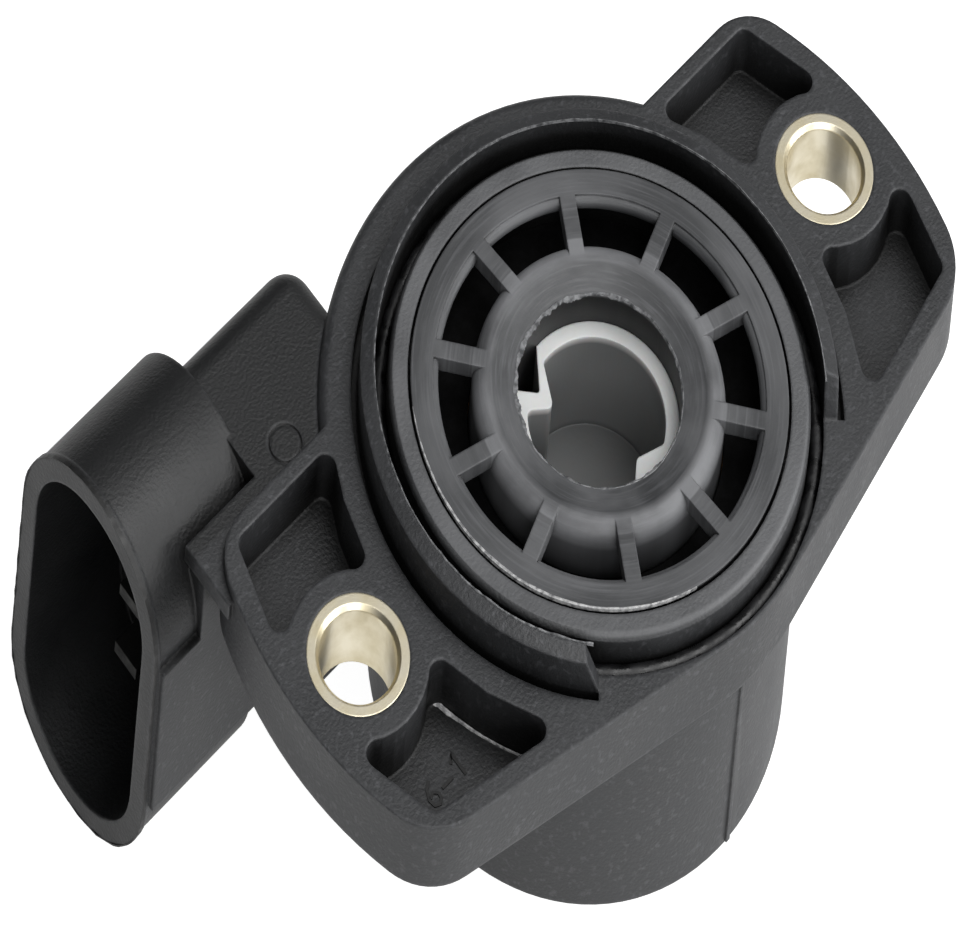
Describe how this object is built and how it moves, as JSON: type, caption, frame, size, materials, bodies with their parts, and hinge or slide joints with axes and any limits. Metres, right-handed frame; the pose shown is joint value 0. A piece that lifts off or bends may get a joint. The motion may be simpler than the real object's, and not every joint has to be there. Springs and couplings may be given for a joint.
{
  "type": "throttle position sensor",
  "caption": "Rotary throttle position sensor: a black moulded body with bushed ears, a spoked rotor with a drive socket, and a side connector hood.",
  "frame": {"origin": "on the rotor axis in the mounting face, which is the upper face of the ears", "axes": "+Z out of the mounting face towards the throttle body, X through the two fixing holes with the connector hood opening towards -X, +Y towards the connector side"},
  "size_m": [0.058, 0.0409, 0.0267],
  "materials": {
    "black_moulding": "satin, fine grain",
    "rotor_moulding": "satin, turned-looking face",
    "natural_moulding": "satin",
    "brass_bush": "turned, satin",
    "rivet_brass": "pressed",
    "bearing_bronze": "sintered, matte",
    "seal_rubber": "smooth, a little oily",
    "spring_steel": "rolled",
    "tinned_strip": "tin plated",
    "board_laminate": "semi-matte",
    "carbon_ink": "matte",
    "silver_ink": "matte"
  },
  "bodies": {
    "housing": {"housing": "black_moulding", "bush_left": "brass_bush", "bush_right": "brass_bush", "face_seal": "seal_rubber", "dust_seal": "seal_rubber", "bearing_sleeve": "bearing_bronze", "resistor_board": "board_laminate", "resistor_track": "carbon_ink", "collector_track": "silver_ink", "contact_top": "tinned_strip", "contact_middle": "tinned_strip", "contact_bottom": "tinned_strip", "board_rivets": "rivet_brass", "cover_gasket": "seal_rubber", "rear_cover": "black_moulding"},
    "rotor": {"rotor": "rotor_moulding", "drive_socket": "natural_moulding", "thrust_washer": "spring_steel", "retaining_ring": "spring_steel", "wiper_carrier": "natural_moulding", "wiper_inner": "tinned_strip", "wiper_outer": "tinned_strip", "wiper_rivets": "rivet_brass"}
  },
  "joints": [
    {"name": "rotor_turn", "type": "hinge", "parent": "housing", "child": "rotor", "pos_m": [0, 0, 0], "axis": [0, 0, 1], "range_deg": [0, 95]}
  ]
}
